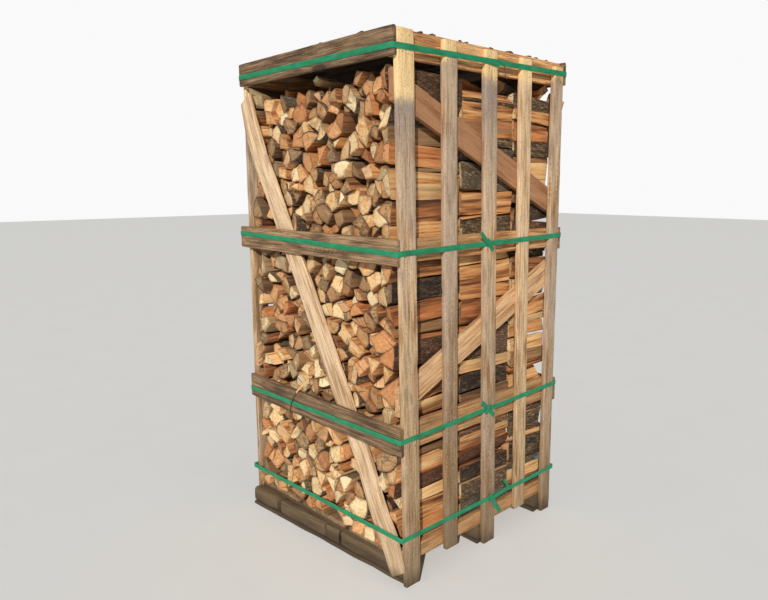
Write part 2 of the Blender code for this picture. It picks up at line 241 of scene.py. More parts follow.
def timber_finish(
    name, pale, tan, dark, grey, stain, knot_colour, grain=0.8, arches=0.2, relief=0.0016,
):
    """pale, tan and dark are the wood; grey and stain are the weather. grain is its contrast."""
    paint = Paint(name)
    along, across, through = paint.parts(paint.read("wood"))
    tone, worn, seed = paint.parts(paint.read("mood"))
    gold = paint.read("gold", "Fac")
    up = paint.parts(paint.place())[2]

    # knots, each with a halo that bends the grain
    knot_at = paint.join(along * 2.6 + seed * 17.0, across * 9.0, through * 3.0)
    near = paint.cells(knot_at)
    chosen = paint.step(paint.parts(paint.cells(knot_at, out="Color"))[0], 0.66, 0.68)
    knot = paint.step(near, 0.15, 0.09) * chosen
    halo = paint.step(near, 0.42, 0.06) * chosen

    # grain from broad to fine, and soft clouds across it
    bent = across + halo * 0.010
    streak = paint.noise(paint.join(along * 3.2, bent * 88.0, through * 88.0), 1.0, 5.0)
    line = paint.noise(paint.join(along * 9.0, bent * 260.0, through * 260.0), 1.0, 3.0)
    hair = paint.noise(paint.join(along * 40.0, across * 640.0, through * 640.0), 1.0, 2.0)
    speck = paint.noise(paint.join(along * 130.0, across * 330.0, through * 330.0), 1.0, 2.0)
    cloud = paint.noise(paint.join(along * 5.0, across * 22.0, through * 22.0), 1.0, 4.0)
    patch = paint.noise(paint.join(along * 1.4, across * 4.0, seed * 9.0), 1.0, 2.0)
    middle = across - BOARD_MIDDLE
    arch = paint.sine((along + middle * middle * 62.0) * 240.0 + cloud * 26.0)
    flat_sawn = paint.noise(paint.join(along * 2.0, seed * 31.0, 0.0), 1.0, 1.0)
    arch = arch * paint.step(flat_sawn, 0.58, 0.70)

    body = 0.5 + (streak - 0.5) * (0.90 * grain) + (line - 0.5) * (0.80 * grain)
    body = body + (tone - 0.5) * 0.30 + (cloud - 0.5) * 0.60
    wood = paint.ramp(body, [(0.37, dark), (0.50, tan), (0.63, pale)])

    # weather: the dry golden end, the grey skin, the blue stain and the dirt
    fresh = paint.step(up + (cloud - 0.5) * 0.16 - gold, -0.02, 0.015)
    aged = paint.step(worn + (cloud - 0.5) * 1.5 + (patch - 0.5) * 1.3, 0.35, 0.95)
    dirt = paint.step(up + (patch - 0.5) * 1.2 + (cloud - 0.5) * 0.5, 1.35, 0.25)
    wood = paint.mix(aged * (1.0 - fresh) * 0.7, wood, grey)
    wood = paint.mix(fresh * 0.70, wood, tint(255, 218, 154))
    below = gold - up
    blue = paint.step(below + (cloud - 0.5) * 0.10, 0.00, 0.03)
    blue = blue * paint.step(below + (patch - 0.5) * 0.3, 0.34, 0.04)
    blue = blue * paint.step(gold, BLUE_BELOW, BLUE_BELOW - 0.01)
    wood = paint.mix(blue * 0.6, wood, tint(130, 124, 124))
    wood = paint.mix(dirt * worn * 0.75, wood, stain)
    wood = paint.mix(paint.step(cloud, 0.56, 0.72) * (1.0 - fresh) * 0.55, wood, stain)

    # the marks of the grain itself, then the knots
    wood = paint.mix(paint.step(line, 0.43, 0.31) * (0.70 * grain), wood, stain)
    wood = paint.mix(paint.step(arch, 0.35, 0.95) * arches, wood, pale)
    wood = paint.mix(paint.step(arch, -0.35, -0.95) * arches, wood, dark)
    wood = paint.mix(paint.step(hair, 0.42, 0.30) * 0.35, wood, dark)
    wood = paint.mix(paint.step(speck, 0.42, 0.30) * 0.6, wood, stain)
    wood = paint.mix(paint.step(speck, 0.60, 0.70) * 0.4, wood, pale)
    wood = paint.mix(knot * 0.85, wood, knot_colour)
    wood = paint.mix(halo * (1.0 - knot) * 0.35, wood, dark)

    # damp and mud near the floor
    damp = paint.step(up + (patch - 0.5) * 0.3 + (cloud - 0.5) * 0.2, 0.34, 0.02)
    wood = paint.mix(damp * (0.20 + worn * 0.55), wood, tint(104, 84, 52))
    foot = paint.step(up + (patch - 0.5) * 0.10 + (cloud - 0.5) * 0.10, 0.10, 0.0)
    wood = paint.mix(foot * 0.75, wood, tint(58, 44, 30))

    height = streak * 0.7 + line * 0.5 + hair * 0.2 + cloud * 0.3 - knot * 0.2
    return paint.finish(wood, 0.68 + cloud * 0.25, height, relief)


print("blue stain only on slats that are golden down to less than", BLUE_BELOW, "m")

# %% One finish for each family of boards
SLAT_WOOD = timber_finish(
    "weathered_slat", tint(238, 206, 164), tint(204, 168, 126), tint(144, 108, 70),
    tint(176, 158, 142), tint(112, 86, 56), tint(104, 66, 36), grain=0.6,
)
RAIL_WOOD = timber_finish(
    "orange_tan_rail", tint(240, 190, 130), tint(212, 152, 96), tint(146, 96, 54),
    tint(160, 126, 88), tint(112, 80, 46), tint(96, 54, 28),
)
BRACE_WOOD = timber_finish(
    "pinkish_brace", tint(190, 140, 100), tint(168, 120, 82), tint(136, 92, 58),
    tint(158, 114, 80), tint(124, 84, 54), tint(96, 56, 34), grain=0.35, arches=0.1, relief=0.0008,
)
LIGHT_BRACE_WOOD = timber_finish(
    "light_tan_brace", tint(232, 190, 142), tint(204, 158, 112), tint(156, 110, 70),
    tint(180, 140, 102), tint(134, 96, 60), tint(104, 62, 36), grain=0.75, relief=0.0008,
)
FACE_WOOD = timber_finish(
    "brown_grey_face_board", tint(186, 150, 112), tint(132, 104, 74), tint(72, 52, 36),
    tint(112, 92, 70), tint(64, 48, 32), tint(52, 34, 24), grain=0.60, relief=0.0024,
)
DIAGONAL_WOOD = timber_finish(
    "pale_waney_board", tint(236, 208, 172), tint(216, 184, 146), tint(168, 130, 92),
    tint(206, 174, 138), tint(150, 114, 80), tint(124, 84, 52), grain=0.75,
)
PALLET_WOOD = timber_finish(
    "dark_pallet_timber", tint(170, 144, 112), tint(112, 92, 68), tint(56, 42, 30),
    tint(112, 96, 76), tint(50, 38, 28), tint(38, 26, 18), grain=0.45, relief=0.0040,
)
DECK_WOOD = timber_finish(
    "worn_deck_timber", tint(206, 168, 128), tint(174, 136, 98), tint(112, 82, 56),
    tint(144, 116, 90), tint(96, 72, 50), tint(78, 50, 30), relief=0.0026,
)
print("timber finishes:", len(bpy.data.materials))

# %% [markdown]
# ## Boards with worn arrises
#
# A packed board is a plain block with sharp corners. A real one has corners rounded by
# the saw, the weather and handling, and faces that are never quite flat. A Bevel
# modifier would round every corner alike, so each board is lofted again between the
# block's own corners, with a corner radius and a surface that wander along its length.

# %% Read a block's corners in order


def block_rings(node, along, across, through, count):
    """The block's corners as rings of four, from one end to the other."""
    found = {}
    for vert in frame["nodes"][node].data.vertices:
        found[tuple(round(c, 4) for c in vert.co)] = vert.co.copy()
    corners = sorted(found.values(), key=lambda p: p[along])
    rings = []
    for k in range(count):
        ring = sorted(corners[4 * k:4 * k + 4], key=lambda p: p[through])
        near = sorted(ring[:2], key=lambda p: p[across])
        far = sorted(ring[2:], key=lambda p: p[across])
        rings.append([near[0], near[1], far[1], far[0]])
    return rings


print("points that a block has:", len(frame["nodes"]["right_slat_1"].data.vertices))

# %% The outline of a worn section
CORNER_STEPS = (0.0, 0.5, 1.0)
WIDE_STEPS = 4
THIN_STEPS = 2


def worn_outline(width, thick, radii):
    """Points round a board's section: offsets from its first corner across and through."""
    points = []
    corners = ((0, 0, 180), (width, 0, 270), (width, thick, 0), (0, thick, 90))
    for k, (x, y, start) in enumerate(corners):
        r = radii[k]
        cx = x + (r if x == 0 else -r)
        cy = y + (r if y == 0 else -r)
        for step in CORNER_STEPS:
            angle = math.radians(start + 90 * step)
            points.append((cx + r * math.cos(angle), cy + r * math.sin(angle)))
        nx, ny, _ = corners[(k + 1) % 4]
        steps = WIDE_STEPS if abs(nx - x) > abs(ny - y) else THIN_STEPS
        for s in range(1, steps):
            points.append((x + (nx - x) * s / steps, y + (ny - y) * s / steps))
    return points


print("points round a section:", len(worn_outline(0.080, 0.020, [0.002] * 4)))

# %% Loft a board with worn corners
STATION = 0.028
END_BEVEL = 0.0014
NICK_FROM = 0.30
NICK_DEPTH = 0.016
RAGGED_RUN = 0.050
RAGGED_BITE = 1.6
WIDEST_CORNER = 0.45


def loft_board(rings, chance, wear, rough, ragged):
    """A board between rings of corners: its points, faces and grain coordinates."""
    middles = [sum(ring, Vector()) / 4 for ring in rings]
    runs = [(b - a).length for a, b in zip(middles, middles[1:])]
    total = sum(runs)
    width = (rings[0][1] - rings[0][0]).length
    thick = (rings[0][3] - rings[0][0]).length
    count = max(6, int(total / STATION))
    inner = [total * k / count for k in range(1, count)]
    reach = [0.0, END_BEVEL, *inner, total - END_BEVEL, total]
    seed = chance.uniform(0, 40)
    verts, faces, wood = [], [], []
    per = 0
    for n, s in enumerate(reach):
        k, left = 0, s
        while k < len(runs) - 1 and left > runs[k]:
            left -= runs[k]
            k += 1
        t = min(max(left / runs[k], 0.0), 1.0)
        a, b, c, d = [rings[k][m].lerp(rings[k + 1][m], t) for m in range(4)]
        centre = (a + b + c + d) / 4
        run = (rings[k + 1][0] - rings[k][0]).normalized()
        to_end = min(s, total - s)
        radii = []
        for m in range(4):
            drift = noise.noise(Vector((s * 5.0 + seed, m * 7.7, 1.3)))
            knock = noise.noise(Vector((s * 24.0 + seed, m * 3.1, 9.0)))
            radius = wear * (1.0 + 0.7 * drift) + max(0.0, knock - NICK_FROM) * NICK_DEPTH
            radius += ragged * max(0.0, 1.0 - to_end / RAGGED_RUN)
            radii.append(min(radius, thick * WIDEST_CORNER))
        section = worn_outline(width, thick, radii)
        per = len(section)
        at_end = n in (0, len(reach) - 1)
        for x, y in section:
            u, v = x / width, y / thick
            point = a * (1 - u) * (1 - v) + b * u * (1 - v) + c * u * v + d * (1 - u) * v
            dip = rough * max(0.0, 0.6 + noise.noise(Vector((s * 9.0 + seed, x * 40.0, y * 40.0))))
            point += (centre - point).normalized() * (dip + (END_BEVEL if at_end else 0.0))
            if at_end and ragged:
                torn = abs(noise.noise(Vector((x * 70.0 + seed, y * 70.0, n))))
                bite = ragged * RAGGED_BITE * torn
                point += run * (bite if n == 0 else -bite)
            verts.append(point)
            wood.append((s + seed, x, y))
    for n in range(len(reach) - 1):
        for k in range(per):
            m = (k + 1) % per
            faces.append((n * per + k, n * per + m, (n + 1) * per + m, (n + 1) * per + k))
    for n in (0, len(reach) - 1):
        hub = len(verts)
        ring = list(range(n * per, n * per + per))
        verts.append(sum((verts[i] for i in ring), Vector()) / per)
        wood.append((reach[n] + seed, width / 2, thick / 2))
        faces.extend((hub, ring[k], ring[(k + 1) % per]) for k in range(per))
    return verts, faces, wood


print("stations on a slat:", int(HEIGHT / STATION))

# %% Turn points and faces into a piece


def store(mesh, name, values):
    """Keeps one number or one vector for each point of the mesh."""
    if isinstance(values[0], tuple):
        layer = mesh.attributes.new(name, "FLOAT_VECTOR", "POINT")
        layer.data.foreach_set("vector", [c for value in values for c in value])
    else:
        layer = mesh.attributes.new(name, "FLOAT", "POINT")
        layer.data.foreach_set("value", values)


def make_piece(name, slot, verts, faces, finishes, kinds=None, sharp=50, **attributes):
    """A named mesh that rides on the crate, with its faces turned out."""
    mesh = bpy.data.meshes.new(name)
    mesh.from_pydata(verts, [], faces)
    for finish in finishes:
        mesh.materials.append(finish)
    if kinds:
        mesh.polygons.foreach_set("material_index", kinds)
    shell = bmesh.new()
    shell.from_mesh(mesh)
    bmesh.ops.recalc_face_normals(shell, faces=shell.faces[:])
    shell.to_mesh(mesh)
    shell.free()
    mesh.shade_smooth()
    mesh.set_sharp_from_angle(angle=math.radians(sharp))
    for key, values in attributes.items():
        store(mesh, key, values)
    piece = bpy.data.objects.new(name, mesh)
    bpy.context.scene.collection.objects.link(piece)
    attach(piece, "root")
    return piece


NO_GOLD = 9.0


def dress_board(
    node, axes, finish, slot, tone, worn,
    gold=NO_GOLD, count=2, wear=0.0020, rough=0.0006, ragged=0.0,
):
    """Replaces one packed block with a worn board. gold is how high its golden end starts."""
    chance = random.Random(node)
    rings = block_rings(node, *axes, count)
    verts, faces, wood = loft_board(rings, chance, wear, rough, ragged)
    mood = (tone + chance.uniform(-0.10, 0.10), worn + chance.uniform(-0.05, 0.05), chance.random())
    every = len(verts)
    piece = make_piece(
        node + "_timber", slot, verts, faces, [finish],
        wood=wood, mood=[mood] * every, gold=[gold] * every,
    )
    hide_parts(node)
    return piece


print("board tools ready")

# %% [markdown]
# ## The crate's boards
#
# Each kind of board lies its own way: a slat stands up, a rail runs front to back and a
# face board runs left to right. A table of directions is enough to dress them all. The
# slats keep a golden end where the strap and the roof have kept the rain off.

# %% Dress slats, rails and braces
X, Y, Z = 0, 1, 2
UPRIGHT = (Z, Y, X)
SIDEWAYS = (Y, Z, X)
ACROSS_FACE = (X, Z, Y)
ALONG_FLOOR = (X, Y, Z)
DEEP_FLOOR = (Y, X, Z)
SLAT_GOLD = (1.825, 1.975, 1.930, 1.955, 1.97)
SLAT_TONE = (0.46, 0.40, 0.46, 0.62, 0.42)
SLAT_WORN = (0.50, 0.85, 0.66, 0.42, 0.66)
RAIL_WORN = {"top": 0.10, "middle": 0.62, "low": 0.62, "bottom": 0.30}

for side in ("right", "left"):
    for k in range(5):
        dress_board(
            f"{side}_slat_{k + 1}", UPRIGHT, SLAT_WOOD, "slat_timber",
            SLAT_TONE[k], SLAT_WORN[k], gold=SLAT_GOLD[k], ragged=0.003,
        )
    for level, worn in RAIL_WORN.items():
        dress_board(f"{side}_{level}_rail", SIDEWAYS, RAIL_WOOD, "rail_timber", 0.5, worn)
    dress_board(f"{side}_upper_brace", SIDEWAYS, BRACE_WOOD, "brace_timber", 0.45, 0.4)
    dress_board(f"{side}_lower_brace", SIDEWAYS, LIGHT_BRACE_WOOD, "brace_timber", 0.55, 0.2)
print("golden ends start at", SLAT_GOLD)

# %% Dress the two faces and the roof
DIAGONAL_RINGS = 15

for face in ("front", "back"):
    for level, tone in (("top", 0.38), ("middle", 0.52), ("low", 0.46)):
        dress_board(
            f"{face}_{level}_board", ACROSS_FACE, FACE_WOOD, "board_timber", tone, 0.40,
            wear=0.0028, ragged=0.003,
        )
    dress_board(
        f"{face}_diagonal", (Z, X, Y), DIAGONAL_WOOD, "diagonal_timber", 0.5, 0.15,
        count=DIAGONAL_RINGS, rough=0.0009, ragged=0.002,
    )
for k in range(1, 5):
    dress_board(f"roof_board_{k}", ALONG_FLOOR, FACE_WOOD, "roof_timber", 0.3, 0.5)

# %% Dress the pallet
for where in ("front", "middle", "rear"):
    blocks = ("left_block", "middle_block", "right_block")
    if where == "front":
        blocks = ("left_block", "left_runner", "middle_block", "right_runner")
    for part in ("skid_board", *blocks):
        dress_board(
            f"{where}_{part}", ALONG_FLOOR, PALLET_WOOD, "pallet_timber", 0.5, 0.5,
            wear=0.006, rough=0.0030, ragged=0.006,
        )
    # the front stringer gets the dark pallet finish at a low tone: partly dirt, partly painted
    # shade
    finish, tone = (PALLET_WOOD, 0.10) if where == "front" else (DECK_WOOD, 0.50)
    dress_board(f"{where}_stringer", ALONG_FLOOR, finish, "deck_timber", tone, 0.45, wear=0.003)
for place in ("left", "centre", "right"):
    dress_board(f"{place}_deck_board", DEEP_FLOOR, DECK_WOOD, "deck_timber", 0.55, 0.4, wear=0.003)
boards = [thing for thing in bpy.data.objects if thing.name.endswith("_timber")]
print("boards:", len(boards), "faces:", sum(len(board.data.polygons) for board in boards))

# %% [markdown]
# ## Cut ends, split faces and bark
#
# A split log shows three surfaces. The sawn end has growth rings round the pith, drying
# cracks and a dark rim where it still has bark. The split face is torn along the fibres
# and is orange where the wood was wet. The bark is dark and scaly. Each log stores its
# own coordinates, measured from the pith of the tree it came from.

# %% The finish of a sawn log end
END_COLOURS = [
    (0.00, tint(124, 102, 74)),
    (0.10, tint(168, 138, 98)),
    (0.22, tint(206, 156, 106)),
    (0.36, tint(220, 156, 98)),
    (0.50, tint(236, 188, 130)),
    (0.70, tint(248, 214, 158)),
    (1.00, tint(255, 234, 188)),
]


def log_end_finish():
    paint = Paint("sawn_log_end")
    x, z, along = paint.parts(paint.read("wood"))
    tone, warm, old = paint.parts(paint.read("mood"))
    rim, edge, _ = paint.parts(paint.read("rim"))
    flat = paint.join(x, z, along * 0.02)
    level = paint.join(x, z, 0.0)
    far = paint.node("ShaderNodeVectorMath", {"operation": "LENGTH"}, {0: level}, "Value")
    cloud = paint.noise(flat, 30.0, 3.0)
    speck = paint.noise(flat, 330.0, 3.0)
    ring = paint.sine((far + (paint.noise(flat, 60.0, 2.0) - 0.5) * 0.004) * 1900.0)
    angle = paint.node("ShaderNodeMath", {"operation": "ARCTAN2"}, {0: z, 1: x})
    ray = paint.noise(paint.join(angle * 5.0, far * 9.0, along), 1.0, 2.0)
    check = paint.step(ray, 0.350, 0.325) * paint.step(speck, 0.30, 0.56)
    saw = paint.noise(paint.join(x * 30.0 + z * 500.0, along, z * 20.0), 1.0, 2.0)
    blotch = paint.noise(flat, 95.0, 4.0)

    shade = tone + (cloud - 0.5) * 0.8 + (blotch - 0.5) * 0.9 + (speck - 0.5) * 0.3
    wood = paint.ramp(shade, END_COLOURS)
    heart = paint.step(warm + (cloud - 0.5) * 0.9 - far * 3.0, 0.30, 0.80)
    wood = paint.mix(heart * 0.65, wood, tint(204, 126, 72))
    aged = paint.step(old + (cloud - 0.5) * 1.2, 0.62, 0.95)
    wood = paint.mix(aged * 0.65, wood, tint(136, 114, 82))
    wood = paint.mix(0.08 + ring * 0.08, wood, tint(150, 92, 50))
    wood = paint.mix(paint.step(speck, 0.43, 0.28) * 0.6, wood, tint(108, 68, 38))
    wood = paint.mix(check * 0.6, wood, tint(72, 46, 28))
    # each end is darker towards its outline
    darker_near_outline = paint.step(edge + (blotch - 0.5) * 0.9, 0.72, 1.10)
    wood = paint.mix(darker_near_outline * 0.75, wood, tint(88, 58, 34))
    barky = paint.step(rim + (speck - 0.5) * 0.05, 0.945, 0.97)
    wood = paint.mix(barky * 0.9, wood, tint(58, 40, 28))
    height = speck * 0.8 + ring * 0.05 - check * 0.8 + saw * 0.5 + blotch * 1.2
    return paint.finish(wood, 0.78 + cloud * 0.12, height, 0.0030)


END_FINISH = log_end_finish()
print("log end finish:", END_FINISH.name, "with", len(END_COLOURS), "colours")

# %% The finish of a torn split face
SPLIT_COLOURS = [
    (0.28, tint(84, 50, 28)),
    (0.42, tint(164, 104, 58)),
    (0.54, tint(214, 152, 92)),
    (0.70, tint(240, 200, 140)),
]

def split_face_finish():
    paint = Paint("torn_split_face")
    x, z, along = paint.parts(paint.read("wood"))
    tone, warm, old = paint.parts(paint.read("mood"))
    fibre = paint.noise(paint.join(x * 95.0, z * 95.0, along * 5.5), 1.0, 4.0)
    band = paint.noise(paint.join(x * 30.0, z * 30.0, along * 2.2), 1.0, 3.0)
    hair = paint.noise(paint.join(x * 700.0, z * 700.0, along * 30.0), 1.0, 2.0)
    body = fibre * 0.6 + band * 0.7 - 0.15 + (tone - 0.5) * 0.42
    wood = paint.ramp(body, SPLIT_COLOURS)
    wet = paint.step(warm + (band - 0.5) * 1.2, 0.50, 1.00)
    wood = paint.mix(wet * 0.5, wood, tint(196, 108, 54))
    aged = paint.step(old + (band - 0.5) * 1.2, 0.42, 0.90)
    wood = paint.mix(aged * 0.75, wood, tint(104, 82, 58))
    wood = paint.mix(paint.step(fibre, 0.40, 0.29) * 0.65, wood, tint(58, 34, 20))
    wood = paint.mix(paint.step(hair, 0.40, 0.28) * 0.35, wood, tint(96, 56, 30))
    height = fibre * 1.0 + band * 0.7 + hair * 0.2
    return paint.finish(wood, 0.80 + fibre * 0.1, height, 0.0045)


SPLIT_FINISH = split_face_finish()
print("split face finish:", SPLIT_FINISH.name, "with", len(SPLIT_COLOURS), "colours")

# %% The finish of bark
BARK_COLOURS = [
    (0.26, tint(56, 40, 28)),
    (0.48, tint(102, 78, 53)),
    (0.70, tint(154, 126, 92)),
]

def bark_finish():
    paint = Paint("scaly_bark")
    x, z, along = paint.parts(paint.read("wood"))
    tone, warm, old = paint.parts(paint.read("mood"))
    wander = paint.noise(paint.join(x * 60.0, z * 60.0, along * 30.0), 1.0, 3.0) * 0.030
    at = paint.join(x + wander, z - wander, along * 0.24 + wander)
    flake = paint.cells(at, 130.0, feature="DISTANCE_TO_EDGE")
    shade = paint.parts(paint.cells(at, 130.0, out="Color"))[0]
    cloud = paint.noise(at, 34.0, 4.0)
    grit = paint.noise(at, 260.0, 4.0)
    skin = paint.ramp(shade * 0.40 + cloud * 0.60 + (tone - 0.5) * 0.3, BARK_COLOURS)
    lichen = paint.step(old + (cloud - 0.5) * 1.1, 0.55, 0.95)
    skin = paint.mix(lichen * 0.7, skin, tint(132, 122, 98))
    rubbed = paint.step(warm + (grit - 0.5) * 0.8, 0.72, 1.0)
    skin = paint.mix(rubbed * 0.6, skin, tint(136, 76, 42))
    crack = paint.step(flake, 0.20, 0.0)
    skin = paint.mix(crack * 0.5, skin, tint(28, 20, 15))
    skin = paint.mix(paint.step(grit, 0.42, 0.30) * 0.5, skin, tint(36, 26, 19))
    height = cloud * 0.8 + grit * 0.35 - crack * 0.5 + shade * 0.3
    return paint.finish(skin, 0.88, height, 0.0060)


BARK_FINISH = bark_finish()
print("bark finish:", BARK_FINISH.name, "with", len(BARK_COLOURS), "colours")

# %% [markdown]
# ## Sharing the face between the logs
#
# The stack is tight but never regular: wedges, quarters and half rounds lie against each
# other with black gaps between. Dropping hundreds of logs in a physics world would do it
# slowly and differently on each machine. Here every log gets the patch of the face that
# lies nearest to it, and is then whittled down to a few corners, which leaves the gaps.

# %% Share the face between the logs
STACK_HALF = 0.4520
STACK_FLOOR = 0.1293
STACK_TOP = 1.905
PITCH = 0.066


def cut_away(outline, normal, reach):
    """Keeps the part of a convex outline that lies within reach along the normal."""
    kept = []
    for k, here in enumerate(outline):
        there = outline[(k + 1) % len(outline)]
        a, b = here.dot(normal) - reach, there.dot(normal) - reach
        if a <= 0:
            kept.append(here)
        if a * b < 0:
            kept.append(here.lerp(there, a / (a - b)))
    return kept


def log_sites(chance):
    """Uneven levels of log centres, each with its own weight. Those above the top only fence."""
    sites = []
    rise = PITCH * 0.866
    levels = int((STACK_TOP - STACK_FLOOR) / rise) + 4
    for j in range(levels):
        for i in range(-7, 8):
            x = (i + 0.5 * (j % 2) - 0.25) * PITCH + chance.uniform(-0.36, 0.36) * PITCH
            z = STACK_FLOOR + (j + 0.5) * rise + chance.uniform(-0.36, 0.36) * PITCH
            if abs(x) < STACK_HALF - 0.008:
                weight = chance.uniform(-1.0, 1.0) * 0.0009
                crown = STACK_TOP + 0.018 * math.sin(x * 9.0 - 0.9)
                sites.append((Vector((x, z)), weight, STACK_FLOOR + 0.012 < z < crown))
    return sites


def log_patches(chance):
    """One convex outline for each log inside the crate."""
    walls = (
        (Vector((1, 0)), STACK_HALF),
        (Vector((-1, 0)), STACK_HALF),
        (Vector((0, -1)), -STACK_FLOOR),
    )
    sites = log_sites(chance)
    patches = []
    for site, weight, inside in sites:
        if not inside:
            continue
        r = PITCH * 1.5
        outline = [site + Vector(c) for c in ((-r, -r), (r, -r), (r, r), (-r, r))]
        for normal, reach in walls:
            outline = cut_away(outline, normal, reach)
        for other, other_weight, _ in sites:
            if other != site and (other - site).length < PITCH * 2.6:
                reach = (other.length_squared - site.length_squared + weight - other_weight) / 2
                outline = cut_away(outline, other - site, reach)
        if len(outline) >= 3:
            patches.append(outline)
    return patches


print("stack from", STACK_FLOOR, "to", STACK_TOP, "m, logs about", PITCH, "m apart")

# %% Whittle a patch down to a split log's section
CORNER_CHOICES = (3, 3, 4, 4, 4, 5, 5)
BARKED_SHARE = 0.62
BARK_POINTS = 6
BARK_RADIUS = (0.040, 0.090)
NO_BARK_RADIUS = 9.0
SPLIT_STEP = 0.016
SPLIT_ROUGH = (-0.0016, 0.0010)
SPLIT_TURN = 8
KEPT_SHARE = (0.89, 0.99)
WALL_LOGS = 0.39
WALL_BARK = 1.5


def corner_area(outline, k):
    a, b, c = outline[k - 1], outline[k], outline[(k + 1) % len(outline)]
    return abs((b - a).cross(c - b))


def bark_chance(a, b, middle):
    """How readily a side is the bark one: more so where it lies along a wall of the crate."""
    outside = abs(a.x + b.x) / 2 > abs(middle.x) > WALL_LOGS
    return WALL_BARK if outside and abs(b.y - a.y) > abs(b.x - a.x) else 1.0


def split_section(outline, chance):
    """Points round the section, which sides are bark, the pith and the bark's radius."""
    want = chance.choice(CORNER_CHOICES)
    outline = list(outline)
    while len(outline) > want:
        outline.pop(min(range(len(outline)), key=lambda k: corner_area(outline, k)))
    middle = sum(outline, Vector((0, 0))) / len(outline)
    turn = Matrix.Rotation(math.radians(chance.uniform(-SPLIT_TURN, SPLIT_TURN)), 2)
    keep = chance.uniform(*KEPT_SHARE)
    outline = [middle + turn @ (p - middle) * keep for p in outline]
    sides = list(zip(outline, outline[1:] + outline[:1]))
    barky = []
    for a, b in sides:
        barky.append((b - a).length * chance.uniform(0.4, 1.0) * bark_chance(a, b, middle))
    bark_side = barky.index(max(barky))
    barked = chance.random() < BARKED_SHARE
    a, b = sides[bark_side]
    half = (b - a).length / 2
    radius = max(half * 1.12, chance.uniform(*BARK_RADIUS))
    inward = Vector((a.y - b.y, b.x - a.x)).normalized()
    if inward.dot(middle - a) < 0:
        inward = -inward
    pith = (a + b) / 2 + inward * math.sqrt(radius ** 2 - half ** 2)
    points, bark = [], []
    for k, (here, there) in enumerate(sides):
        round_side = barked and k == bark_side
        steps = max(1, int((there - here).length / SPLIT_STEP))
        parts = BARK_POINTS if round_side else steps
        side = Vector((there.y - here.y, here.x - there.x)).normalized()
        for s in range(parts):
            spot = here.lerp(there, s / parts)
            if round_side:
                spot = pith + (spot - pith).normalized() * radius
            elif s:
                spot = spot + side * chance.uniform(*SPLIT_ROUGH)
            points.append(spot)
            bark.append(round_side)
    return points, bark, pith, radius if barked else NO_BARK_RADIUS


print("logs that keep bark:", round(100 * BARKED_SHARE), "in 100")

# %% [markdown]
# ## Lofting the logs
#
# Each log is its section drawn out along its length, with a slight bend, twist and
# taper, so that it never looks like an extruded block. Thousands of separate objects
# would be slow to handle, so each row of logs becomes one mesh with three finishes.

# %% A heap that collects logs
STATIONS = (0.0, 0.004, 0.09, 0.2, 0.32, 0.44, 0.56, 0.68, 0.8, 0.91, 0.996, 1.0)
END, SPLIT, BARK = 0, 1, 2
BEND = (0.005, 0.004)
SKEW_X = (-0.010, 0.010)
SKEW_Z = (-0.021, 0.015)
TAPER = 0.14
TWIST = 10
SLOPE = 0.34
SLOPE_RUN = 0.1
END_SHRINK = 0.955
FLAT_SHARP = 32


class Heap:
    """The points, faces and surface values of many logs."""

    def __init__(self):
        self.verts, self.faces, self.kinds = [], [], []
        self.wood, self.mood, self.rim = [], [], []

    def add_log(self, section, bark, pith, radius, start, end, chance, put, slant=(1.0, 1.0)):
        """Lofts one log from start to end. put takes a point of the section to the crate."""
        middle = sum(section, Vector((0, 0))) / len(section)
        own = (chance.random(), chance.random() ** 1.5, chance.random() ** 1.5)
        bend = Vector((chance.uniform(-BEND[0], BEND[0]), chance.uniform(-BEND[1], BEND[1])))
        skew = Vector((chance.uniform(*SKEW_X), chance.uniform(*SKEW_Z)))
        taper = chance.uniform(-TAPER, TAPER)
        twist = math.radians(chance.uniform(-TWIST, TWIST))
        slope = Vector((chance.uniform(-SLOPE, SLOPE), chance.uniform(-SLOPE, SLOPE)))
        seed = chance.uniform(0, 60)
        first, per = len(self.verts), len(section)
        last = len(STATIONS) - 1
        for n, t in enumerate(STATIONS):
            edge = END_SHRINK if n in (0, last) else 1.0
            lean = Matrix.Rotation(twist * (t - 0.5), 2)
            centre = middle + bend * math.sin(math.pi * t) + skew * (t - 0.5)
            cut = max(0.0, 1.0 - min(t, 1.0 - t) / SLOPE_RUN) * (slant[0] if t < 0.5 else -slant[1])
            for spot in section:
                offset = spot - middle
                rough = noise.noise(Vector((spot.x * 60.0, t * 5.0 + seed, spot.y * 60.0)))
                flat = centre + lean @ offset * ((1.0 + taper * (t - 0.5)) * edge + rough * 0.06)
                y = start + (end - start) * t + slope.dot(offset) * cut
                self.note(put(flat.x, y, flat.y), spot - pith, y + seed, own, radius, 1.0)
        for n in range(last):
            for k in range(per):
                m = (k + 1) % per
                a, b = first + n * per, first + (n + 1) * per
                self.faces.append((a + k, b + k, b + m, a + m))
                self.kinds.append(BARK if bark[k] else END if n in (0, last - 1) else SPLIT)
        for n, y in ((0, start), (last, end)):
            hub = len(self.verts)
            ring = [first + n * per + k for k in range(per)]
            centre = sum((self.verts[i] for i in ring), Vector()) / per
            self.note(centre, middle - pith, y + seed, own, radius, 0.0)
            for k in range(per):
                pair = (ring[k], ring[(k + 1) % per])
                self.faces.append((hub, *pair) if n == 0 else (hub, *reversed(pair)))
                self.kinds.append(END)

    def note(self, point, from_pith, along, own, radius, edge):
        self.verts.append(point)
        self.wood.append((from_pith.x, from_pith.y, along))
        self.mood.append(own)
        self.rim.append((from_pith.length / radius, edge, 0.0))

    def piece(self, name):
        finishes = [END_FINISH, SPLIT_FINISH, BARK_FINISH]
        return make_piece(
            name, "split_logs", self.verts, self.faces, finishes, self.kinds, FLAT_SHARP,
            wood=self.wood, mood=self.mood, rim=self.rim,
        )


print("stations along a log:", len(STATIONS))

